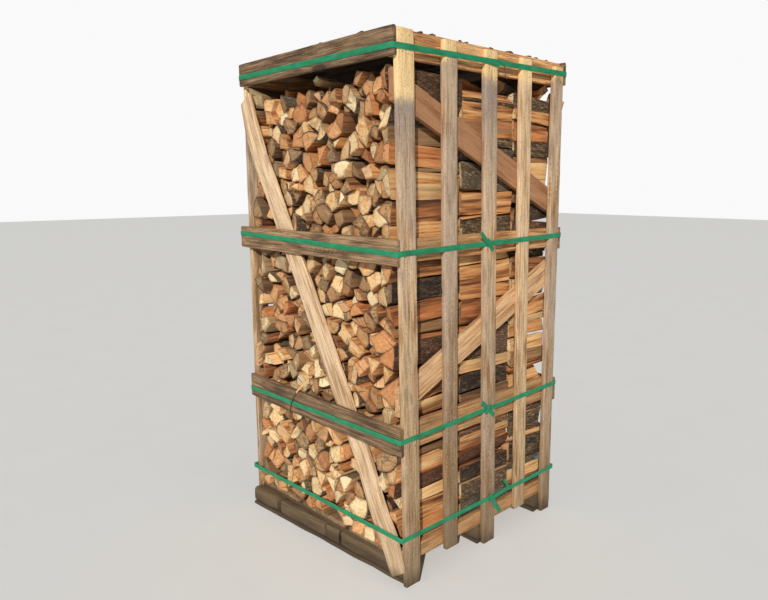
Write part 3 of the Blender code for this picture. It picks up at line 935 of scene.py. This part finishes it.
# %% Where a log end may stand
LOW_STACK = 0.55
FOOT_STACK = 0.21
FACE_UPPER = (-0.461, -0.418)
FACE_LOW = (-0.478, -0.454)
FACE_WALL = (-0.479, -0.466)
FACE_FOOT = (-0.493, -0.477)
MOSTLY_FLUSH = 1.4
DIAGONAL_CLEAR = 0.092
DIAGONAL_SPAN = (0.18, 1.64)
WALL_DENT = 0.013
FRONT_DIAGONAL = block_rings("front_diagonal", Z, X, Y, DIAGONAL_RINGS)


def near_diagonal(x, z):
    """True where a log end would press on the diagonal, which is tucked in there."""
    ring = min(FRONT_DIAGONAL, key=lambda r: abs(r[0].z - z))
    middle = (ring[0].x + ring[1].x) / 2 - SHIFT_X
    return DIAGONAL_SPAN[0] < z < DIAGONAL_SPAN[1] and abs(middle - x) < DIAGONAL_CLEAR


def face_depth(x, z, chance):
    """How far forward a log end of the outer rows stands, in the square crate."""
    low, high = FACE_UPPER
    if not near_diagonal(x, z):
        if z < FOOT_STACK:
            low, high = FACE_FOOT
        elif abs(x) > WALL_LOGS:
            low, high = FACE_WALL
        elif z < LOW_STACK:
            low, high = FACE_LOW
    return low + (high - low) * chance.random() ** MOSTLY_FLUSH


def wall_stop(chance):
    """A placing function that keeps one log inside the walls, some deeper than others."""
    half = STACK_HALF - WALL_DENT * chance.random() ** MOSTLY_FLUSH

    def put(x, y, z):
        return stand(min(max(x, -half), half), y, max(z, STACK_FLOOR))

    return put


print("log ends stand", FACE_FOOT[0], "to", FACE_UPPER[1], "m from the middle")

# %% Loft the three rows
ROW_RAGGED = (-0.004, 0.010)
HIDDEN_SLANT = 0.25

def log_row(row, seed, front, rear):
    """All the logs of one row. A row's end is a place, or None where it makes a face."""
    chance = random.Random(seed)
    heap = Heap()
    patches = log_patches(chance)
    slant = (1.0 if front is None else HIDDEN_SLANT, 1.0 if rear is None else HIDDEN_SLANT)
    for patch in patches:
        section, bark, pith, radius = split_section(patch, chance)
        middle = sum(section, Vector((0, 0))) / len(section)
        if front is None:
            start = face_depth(middle.x, middle.y, chance)
        else:
            start = front + chance.uniform(*ROW_RAGGED)
        if rear is None:
            end = -face_depth(-middle.x, middle.y, chance)
        else:
            end = rear - chance.uniform(*ROW_RAGGED)
        heap.add_log(section, bark, pith, radius, start, end, chance, wall_stop(chance), slant)
    piece = heap.piece(f"{row}_logs")
    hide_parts(f"firewood_{row}_row")
    print(row, "row:", len(patches), "logs,", sum(len(f) - 2 for f in heap.faces), "triangles")


log_row("front", 101, None, -0.116)
log_row("middle", 102, -0.110, 0.210)
log_row("rear", 103, 0.218, None)

# %% [markdown]
# ## Loose logs on the crown
#
# The stack was thrown on at the top, so a few logs lie across the others at odd angles.
# They are made with the same heap, but each is turned and laid where it belongs, one by one.

# %% Lay a few loose logs on top
LOOSE_LOGS = (
    # middle of the log (x, y, z), turn about the upright, tilt, half length, half width
    ((0.325, 0.432, 1.922), 86, 2, 0.115, 0.036),
    ((0.040, 0.436, 1.925), 93, -2, 0.130, 0.030),
    ((-0.270, 0.436, 1.925), 88, 2, 0.140, 0.031),
    ((0.360, 0.290, 1.925), 20, 3, 0.120, 0.030),
    ((0.330, 0.120, 1.912), 12, -3, 0.150, 0.026),
    ((0.200, -0.240, 1.918), -8, 2, 0.160, 0.024),
    ((-0.050, -0.270, 1.930), 6, -2, 0.150, 0.022),
    ((-0.260, -0.230, 1.926), -14, 2, 0.160, 0.024),
    ((0.060, 0.250, 1.922), 64, 0, 0.150, 0.026),
    ((-0.300, 0.300, 1.922), 20, 2, 0.150, 0.026),
    ((-0.150, 0.060, 1.926), -28, 0, 0.160, 0.024),
)


def loose_logs():
    chance = random.Random(77)
    heap = Heap()
    for centre, turn, tilt, half, wide in LOOSE_LOGS:
        corners = [Vector((wide * math.cos(a), wide * math.sin(a))) for a in (0.3, 1.5, 3.0, 4.3)]
        section, bark, pith, radius = split_section(corners, chance)
        spin = Matrix.Rotation(math.radians(turn), 3, "Z")
        spin = spin @ Matrix.Rotation(math.radians(tilt), 3, "X")

        def put(x, y, z, spin=spin, centre=centre):
            return stand(*(Vector(centre) + spin @ Vector((x, y, z))))

        heap.add_log(section, bark, pith, radius, -half, half, chance, put)
    heap.piece("loose_logs")
    print("loose logs:", len(LOOSE_LOGS))


loose_logs()

# %% [markdown]
# ## Straps and their joints
#
# The straps are embossed plastic bands, pulled tight round the crate. Each is tied by
# the middle slat: two ends overlap, or a stiff tail stands off the knot and catches the
# light. A band is only a strip with a thickness, so one function lofts the long runs,
# the overlaps and the tails alike.

# %% The strap finish


def strap_finish():
    paint = Paint("green_embossed_strap")
    run, wide, _ = paint.parts(paint.read("wood"))
    cloud = paint.noise(paint.join(run * 18.0, wide * 60.0, 0.0), 1.0, 3.0)
    scuff = paint.noise(paint.join(run * 60.0, wide * 500.0, 0.0), 1.0, 3.0)
    diamond = paint.sine((run + wide) * 2600.0) * paint.sine((run - wide) * 2600.0)
    green = paint.mix(paint.step(cloud, 0.3, 0.7), tint(6, 122, 78), tint(16, 152, 104))
    green = paint.mix(paint.step(diamond, 0.1, 0.9) * 0.25, green, tint(60, 178, 126))
    green = paint.mix(paint.step(scuff, 0.62, 0.74) * 0.3, green, tint(110, 176, 140))
    return paint.finish(green, 0.38 + cloud * 0.2, diamond * 0.5 + cloud, 0.0005)


STRAP_FINISH = strap_finish()
print("strap finish:", STRAP_FINISH.name)

# %% Loft a band
BAND_SIDES = 6
SHOULDER = 0.92
SHOULDER_LIFT = 0.6


def band(heap, points, faces_out, widths, thick):
    """Adds one strip to the heap: points on its inner middle line, outward directions, widths."""
    verts, faces, wood = heap
    first = len(verts)
    last = len(points) - 1
    run = 0.0
    for k, point in enumerate(points):
        ahead = points[min(k + 1, last)] - points[max(k - 1, 0)]
        out = faces_out[k]
        side = out.cross(ahead).normalized() * widths[k] / 2
        if k:
            run += (point - points[k - 1]).length
        lift = out * thick
        shoulder = side * SHOULDER
        for place, across in (
            (point - side, 0.0), (point - side + lift * SHOULDER_LIFT, 0.001),
            (point - shoulder + lift, 0.0016), (point + shoulder + lift, widths[k] - 0.0016),
            (point + side + lift * SHOULDER_LIFT, widths[k] - 0.001), (point + side, widths[k]),
        ):
            verts.append(place)
            wood.append((run, across, 0.0))
    for k in range(last):
        a, b = first + BAND_SIDES * k, first + BAND_SIDES * (k + 1)
        for m in range(BAND_SIDES):
            n = (m + 1) % BAND_SIDES
            faces.append((a + m, a + n, b + n, b + m))
    for k in (0, last):
        faces.append(tuple(first + BAND_SIDES * k + m for m in range(BAND_SIDES)))


def smooth_path(points, steps):
    """A Catmull-Rom curve through a few points."""
    ends = [points[0] * 2 - points[1], *points, points[-1] * 2 - points[-2]]
    path = []
    for k in range(len(points) - 1):
        a, b, c, d = ends[k:k + 4]
        for s in range(steps):
            t = s / steps
            path.append((b * 2 + (c - a) * t + (a * 2 - b * 5 + c * 4 - d) * t ** 2
                         + (b * 3 - a - c * 3 + d) * t ** 3) / 2)
    return [*path, points[-1]]


print("a band has", BAND_SIDES, "sides")

# %% The long run of each strap
STRAP_W = 0.020
STRAP_THICK = 0.0010
STRAP_OUT = 0.5012
MIDDLE_OVERHANG = 0.038
STRAP_HEIGHTS = {
    "top": (2.000, 1.983, 1.999, 2.002),
    "middle": (1.320, 1.300, 1.317, 1.322),
    "low": (0.585, 0.605, 0.629, 0.600),
    "base": (0.190, 0.208, 0.208, 0.196),
}
SIDE_STEPS = 16
CORNER_R = 0.003
CORNER_INSET = 0.0008
STRAP_WAVE = 0.0008
OUTWARD = (Vector((0, -1, 0)), Vector((1, 0, 0)), Vector((0, 1, 0)), Vector((-1, 0, 0)))


def strap_run(level):
    """The middle line round the crate, with the outward direction at each point."""
    left = STRAP_OUT + (MIDDLE_OVERHANG if level == "middle" else 0.0)
    z = STRAP_HEIGHTS[level]
    corners = [
        Vector((-left, -STRAP_OUT, z[0])), Vector((STRAP_OUT, -STRAP_OUT, z[1])),
        Vector((STRAP_OUT, STRAP_OUT, z[2])), Vector((-STRAP_OUT, STRAP_OUT, z[3])),
    ]
    points, outs = [], []
    for k in range(4):
        here, there = corners[k], corners[(k + 1) % 4]
        this_way, next_way = OUTWARD[k], OUTWARD[(k + 1) % 4]
        along = (there - here).normalized()
        for s in range(SIDE_STEPS + 1):
            spot = (here + along * CORNER_R).lerp(there - along * CORNER_R, s / SIDE_STEPS)
            spot.z += STRAP_WAVE * noise.noise(spot * 9.0)
            points.append(stand(*spot))
            outs.append(this_way)
        points.append(stand(*(there - this_way * CORNER_INSET - next_way * CORNER_INSET)))
        outs.append((this_way + next_way).normalized())
    return [*points, points[0]], [*outs, outs[0]]


print("points round the top strap:", len(strap_run("top")[0]))

# %% Overlaps and tails at the joints
JOINT_X = STRAP_OUT + 0.0011
TAIL_THICK = 0.0009
TAIL_STEPS = 6
STRAP_TAILS = {
    # each tail: its width and its middle line as (y, z, stand-off from the strap)
    "top": [(0.0195, ((-0.030, 1.9915, 0.0), (0.005, 1.9875, 0.001), (0.046, 1.9825, 0.0)))],
    "middle": [
        (0.0175, (
            (-0.056, 1.353, 0.0038), (-0.036, 1.334, 0.0036),
            (-0.012, 1.313, 0.0020), (0.022, 1.283, 0.0012),
        )),
        (0.0160, ((-0.012, 1.326, 0.0018), (0.000, 1.309, 0.0036), (0.013, 1.292, 0.0018))),
    ],
    "low": [
        (0.0175, (
            (-0.044, 0.660, 0.0038), (-0.026, 0.644, 0.0036),
            (0.004, 0.617, 0.0020), (0.042, 0.578, 0.0012),
        )),
        (0.0160, ((-0.014, 0.600, 0.0018), (0.002, 0.618, 0.0036), (0.016, 0.636, 0.0018))),
    ],
    "base": [
        (0.0215, (
            (0.020, 0.224, 0.0020), (0.034, 0.200, 0.0036),
            (0.058, 0.165, 0.0030), (0.092, 0.119, 0.0010),
        )),
        (0.0195, ((0.030, 0.196, 0.0010), (0.060, 0.205, 0.0032), (0.110, 0.2085, 0.0006))),
        (0.0150, ((0.112, 0.264, 0.0038), (0.132, 0.242, 0.0034), (0.154, 0.208, 0.0012))),
    ],
}


def strap(level):
    """One strap: its run round the crate and the overlaps and tails of its joint."""
    heap = ([], [], [])
    points, outs = strap_run(level)
    band(heap, points, outs, [STRAP_W] * len(points), STRAP_THICK)
    for width, line in STRAP_TAILS[level]:
        spots = [stand(JOINT_X + off, y, z) for y, z, off in line]
        path = smooth_path(spots, TAIL_STEPS)
        band(heap, path, [OUTWARD[1]] * len(path), [width] * len(path), TAIL_THICK)
    verts, faces, wood = heap
    piece = make_piece(
        f"{level}_strap_band", "strap_plastic", verts, faces, [STRAP_FINISH],
        sharp=60, wood=wood,
    )
    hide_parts(f"{level}_strap")
    return len(faces)


print("strap faces:", [strap(level) for level in STRAP_HEIGHTS])

# %% [markdown]
# ## Nails
#
# Two nails hold each slat to each rail, and one column of them each face board to its
# corner slats. At this size a nail is only a dark, slightly domed head. A picture of dots
# would vanish from the side, so each head is a low dome, and all of them are one mesh.

# %% The nail finish and the nails


def nail_finish():
    paint = Paint("rusty_nail_steel")
    cloud = paint.noise(paint.place(), 900.0, 3.0)
    steel = paint.mix(paint.step(cloud, 0.35, 0.65), tint(58, 48, 42), tint(104, 66, 42))
    return paint.finish(steel, 0.45 + cloud * 0.35, cloud, 0.0003)


NAIL_FINISH = nail_finish()
NAIL_R = 0.0032
NAIL_DOME = 0.0009
NAIL_SIDES = 10
NAIL_SINK = 0.0008
NAIL_PAIR = 0.015
SLAT_FACE = 0.4990
BOARD_FACE = 0.4988
FACE_NAIL_X = 0.489
SLAT_TOP_Y = (-0.4424, -0.2230, 0.0030, 0.2230, 0.4480)
SLAT_FOOT_Y = (-0.4421, -0.2175, 0.0235, 0.2450, 0.4490)
NAIL_LEVELS = (2.014, 1.962, 1.322, 1.290, 0.640, 0.580, 0.120)
FACE_NAIL_LEVELS = (1.990, 1.968, 1.330, 1.276, 0.630, 0.566)


def add_nail(verts, faces, centre, out):
    """One domed head on a surface, facing out."""
    side = out.cross(Vector((0, 0, 1))).normalized()
    up = side.cross(out)
    first = len(verts)
    rings = ((NAIL_R, -NAIL_SINK), (NAIL_R, 0.2 * NAIL_DOME), (NAIL_R * 0.6, NAIL_DOME))
    for radius, lift in rings:
        for k in range(NAIL_SIDES):
            angle = math.tau * k / NAIL_SIDES
            reach = side * math.cos(angle) + up * math.sin(angle)
            verts.append(centre + reach * radius + out * lift)
    for row in range(2):
        for k in range(NAIL_SIDES):
            a, b = first + row * NAIL_SIDES, first + (row + 1) * NAIL_SIDES
            m = (k + 1) % NAIL_SIDES
            faces.append((a + k, a + m, b + m, b + k))
    faces.append(tuple(first + 2 * NAIL_SIDES + k for k in range(NAIL_SIDES)))
    faces.append(tuple(first + k for k in range(NAIL_SIDES)))


def nails():
    """Every nail head, each a few millimetres off its ideal place."""
    chance = random.Random(5)
    verts, faces = [], []
    for sign in (1, -1):
        for top, foot in zip(SLAT_TOP_Y, SLAT_FOOT_Y):
            for z in NAIL_LEVELS:
                middle = foot + (top - foot) * z / HEIGHT
                for step in (-NAIL_PAIR, NAIL_PAIR):
                    y = middle + step + chance.uniform(-0.004, 0.004)
                    spot = stand(sign * SLAT_FACE, y, z + chance.uniform(-0.006, 0.006))
                    add_nail(verts, faces, spot, Vector((sign, 0, 0)))
        for x in (-FACE_NAIL_X, FACE_NAIL_X):
            for z in FACE_NAIL_LEVELS:
                near = x + chance.uniform(-0.002, 0.002)
                spot = stand(near, -sign * BOARD_FACE, z + chance.uniform(-0.006, 0.006))
                add_nail(verts, faces, spot, Vector((0, -sign, 0)))
    make_piece("nail_heads", "nail_steel", verts, faces, [NAIL_FINISH])
    return len(verts) // (3 * NAIL_SIDES)


print("nails:", nails())

# %% [markdown]
# ## Splinter, twig, wire and scraps of bark
#
# A pale splinter with a dark twig on it is caught on the low front board, a bent wire end
# hangs from the joint of the top strap, and scraps of bark lie along the top edges. They
# are small, but they tell how rough the load is. A curve with a bevel would make the rods,
# but a loft keeps the grain coordinates that the finishes need. Each scrap is a thin
# uneven flake.

# %% Rods
ROD_SIDES = 7


def add_rod(heap, line, radii, flat=1.0):
    """A rod along a smooth line. The heap holds its points, faces and grain coordinates."""
    verts, faces, wood = heap
    first = len(verts)
    last = len(line) - 1
    run = 0.0
    for k, point in enumerate(line):
        ahead = (line[min(k + 1, last)] - line[max(k - 1, 0)]).normalized()
        side = ahead.cross(Vector((0, -1, 0))).normalized()
        over = side.cross(ahead)
        if k:
            run += (point - line[k - 1]).length
        for m in range(ROD_SIDES):
            angle = math.tau * m / ROD_SIDES
            reach = radii[k] * (1.0 + 0.15 * math.sin(3 * angle + 9 * run))
            u, v = math.cos(angle) * reach, math.sin(angle) * reach
            verts.append(point + side * u + over * v * flat)
            wood.append((u, v, run))
    for k in range(last):
        a, b = first + ROD_SIDES * k, first + ROD_SIDES * (k + 1)
        for m in range(ROD_SIDES):
            n = (m + 1) % ROD_SIDES
            faces.append((a + m, a + n, b + n, b + m))
    for k in (0, last):
        faces.append(tuple(first + ROD_SIDES * k + m for m in range(ROD_SIDES)))


print("sides of a rod:", ROD_SIDES)

# %% The splinter, the twig and the wire
SPLINTER_LINE = ((-0.050, -0.503, 0.722), (-0.092, -0.506, 0.684), (-0.140, -0.507, 0.638))
TWIG_LINE = (
    (-0.128, -0.509, 0.650), (-0.158, -0.510, 0.606),
    (-0.176, -0.508, 0.566), (-0.182, -0.505, 0.540),
)
WIRE_LINE = (
    (0.5036, 0.070, 1.986), (0.5046, 0.077, 1.972), (0.5050, 0.080, 1.944),
    (0.5050, 0.087, 1.938), (0.5046, 0.091, 1.966),
)
TWIG_R = 0.0022
WIRE_R = 0.0014


def splinter_and_twig():
    """Both lie on the low front board as one piece with two finishes."""
    heap = ([], [], [])
    line = smooth_path([stand(*point) for point in SPLINTER_LINE], 5)
    swell = [math.sin(math.pi * (0.12 + 0.08 * k)) for k in range(len(line))]
    add_rod(heap, line, [0.0008 + 0.0048 * s for s in swell], flat=0.5)
    pale_count = len(heap[1])
    line = smooth_path([stand(*point) for point in TWIG_LINE], 4)
    add_rod(heap, line, [TWIG_R] * len(line))
    verts, faces, wood = heap
    kinds = [0] * pale_count + [1] * (len(faces) - pale_count)
    make_piece(
        "splinter_and_twig", "split_logs", verts, faces, [SPLIT_FINISH, BARK_FINISH], kinds, 40,
        wood=wood, mood=[(0.95, 0.1, 0.1)] * len(verts),
    )
    return len(faces)


def strap_wire():
    """The bent end of a wire that hangs from the joint of the top strap."""
    heap = ([], [], [])
    line = smooth_path([stand(*point) for point in WIRE_LINE], 5)
    add_rod(heap, line, [WIRE_R] * len(line))
    make_piece("top_strap_wire", "nail_steel", heap[0], heap[1], [NAIL_FINISH], sharp=60)
    return len(line)


print("splinter and twig faces:", splinter_and_twig())

# %% The scraps of bark
FRONT_SCRAPS_X = (-0.25, -0.21, -0.19, -0.15, -0.12, -0.02, 0.03, 0.09, 0.31)
SIDE_SCRAPS_Y = (-0.34, -0.28, -0.13, -0.11, 0.05, 0.15, 0.28, 0.33, 0.40)
LOOSE_SCRAPS = 16
SCRAP_AREA = 0.42
SCRAP_FLOOR = 2.0450
SCRAP_TOP = 2.0555
FRONT_LIMIT = -0.498


def bark_scraps():
    """Flakes along the top edges of the front board, the rails and the roof."""
    chance = random.Random(31)
    verts, faces, wood = [], [], []
    spots = [(x, -0.476, 0.085) for x in FRONT_SCRAPS_X]
    spots += [(0.458, y, 0.060) for y in SIDE_SCRAPS_Y]
    for _ in range(LOOSE_SCRAPS):
        x = chance.uniform(-SCRAP_AREA, SCRAP_AREA)
        spots.append((x, chance.uniform(-SCRAP_AREA, SCRAP_AREA), 0.060))
    for x, y, size in spots:
        first = len(verts)
        sides = chance.randint(5, 7)
        long = size * chance.uniform(0.5, 1.0)
        turn = chance.uniform(0, math.tau)
        for lift in (0.0, 1.0):
            for k in range(sides):
                angle = math.tau * k / sides
                reach = long * chance.uniform(0.7, 1.0) / 2 * (0.9 if lift else 1.0)
                a, b = math.cos(angle) * reach, math.sin(angle) * reach * 0.5
                px = x + a * math.cos(turn) - b * math.sin(turn)
                py = y + a * math.sin(turn) + b * math.cos(turn)
                pz = SCRAP_FLOOR + lift * chance.uniform(0.003, 0.0095)
                verts.append(stand(px, max(py, FRONT_LIMIT), min(pz, SCRAP_TOP)))
                wood.append((px, py, pz))
        faces.append(tuple(first + k for k in range(sides)))
        faces.append(tuple(first + sides + k for k in range(sides)))
        for k in range(sides):
            m = (k + 1) % sides
            faces.append((first + k, first + m, first + sides + m, first + sides + k))
    make_piece(
        "bark_scraps", "split_logs", verts, faces, [BARK_FINISH], sharp=35,
        wood=wood, mood=[(0.3, 0.3, 0.4)] * len(verts),
    )
    return len(spots)


print("bark scraps:", bark_scraps(), "wire points:", strap_wire())

# %% [markdown]
# ## Floor, light and camera
#
# The photograph is lit by a fairly low sun from behind the viewer, which gives bright
# wood, short hard shadows under the boards and black gaps. A sun lamp does that, with an
# even pale sky as the fill. The camera stands where the picture was taken from: 2.85 m
# from the crate, at 1.53 m, looking a little down.

# %% Floor
floor_paint = Paint("pale_floor_finish")
floor_cloud = floor_paint.noise(floor_paint.place(), 3.0, 3.0)
floor_tone = floor_paint.mix(floor_cloud, (0.90, 0.90, 0.89), (0.94, 0.94, 0.93))
floor_mesh = bpy.data.meshes.new("pale_floor")
FAR = 30
floor_corners = [(-FAR, -FAR, 0), (FAR, -FAR, 0), (FAR, FAR, 0), (-FAR, FAR, 0)]
floor_mesh.from_pydata(floor_corners, [], [(0, 1, 2, 3)])
floor_mesh.materials.append(floor_paint.finish(floor_tone, 0.9, floor_cloud, 0.0005))
floor = bpy.data.objects.new("pale_floor", floor_mesh)
bpy.context.scene.collection.objects.link(floor)
print("floor reaches", FAR, "m each way")

# %% Light
SUN_AZIMUTH = 38.0
SUN_HEIGHT = 29.0
SUN_STRENGTH = 3.4
SKY_STRENGTH = 0.20

sun_data = bpy.data.lights.new("low_sun", "SUN")
sun_data.energy = SUN_STRENGTH
sun_data.angle = math.radians(1.0)
sun_data.color = (1.0, 0.97, 0.92)
sun = bpy.data.objects.new("low_sun", sun_data)
azimuth, height = math.radians(SUN_AZIMUTH), math.radians(SUN_HEIGHT)
flat = math.cos(height)
toward = Vector((math.sin(azimuth) * flat, -math.cos(azimuth) * flat, math.sin(height)))
sun.rotation_euler = toward.to_track_quat("Z", "Y").to_euler()
bpy.context.scene.collection.objects.link(sun)

world = bpy.data.worlds.new("pale_sky")
bpy.context.scene.world = world
world.use_nodes = True
sky = world.node_tree
sky.nodes.clear()
ray = sky.nodes.new("ShaderNodeLightPath")
seen = sky.nodes.new("ShaderNodeBackground")
seen.inputs["Color"].default_value = (0.95, 0.95, 0.95, 1.0)
fill = sky.nodes.new("ShaderNodeBackground")
fill.inputs["Color"].default_value = (0.88, 0.93, 1.0, 1.0)
fill.inputs["Strength"].default_value = SKY_STRENGTH
either = sky.nodes.new("ShaderNodeMixShader")
sky_out = sky.nodes.new("ShaderNodeOutputWorld")
sky.links.new(ray.outputs["Is Camera Ray"], either.inputs[0])
sky.links.new(fill.outputs[0], either.inputs[1])
sky.links.new(seen.outputs[0], either.inputs[2])
sky.links.new(either.outputs[0], sky_out.inputs["Surface"])
bpy.context.scene.view_settings.view_transform = "Standard"
print("sun:", SUN_STRENGTH, "sky:", SKY_STRENGTH)

# %% Camera
CAMERA_AT = Vector((2.0866, -1.9411, 1.5317))
CAMERA_AZIMUTH = 48.491
CAMERA_DOWN = 10.25
CAMERA_ROLL = -0.091
FOCAL_PX = 628.9
IMAGE_W = 768

azimuth, down, roll = (math.radians(v) for v in (CAMERA_AZIMUTH, CAMERA_DOWN, CAMERA_ROLL))
flat = math.cos(down)
ahead = Vector((-math.sin(azimuth) * flat, math.cos(azimuth) * flat, -math.sin(down)))
level = Vector((math.cos(azimuth), math.sin(azimuth), 0.0))
over = level.cross(ahead)
right = level * math.cos(roll) + over * math.sin(roll)
up = over * math.cos(roll) - level * math.sin(roll)
camera_data = bpy.data.cameras.new("photo_view")
camera_data.sensor_width = 36.0
camera_data.lens = FOCAL_PX * camera_data.sensor_width / IMAGE_W
camera = bpy.data.objects.new("photo_view", camera_data)
turn = Matrix((right, up, -ahead)).transposed().to_4x4()
camera.matrix_world = Matrix.Translation(CAMERA_AT + Vector((SHIFT_X, SHIFT_Y, 0.0))) @ turn
bpy.context.scene.collection.objects.link(camera)
bpy.context.scene.camera = camera
print("camera lens:", round(camera_data.lens, 2), "mm")
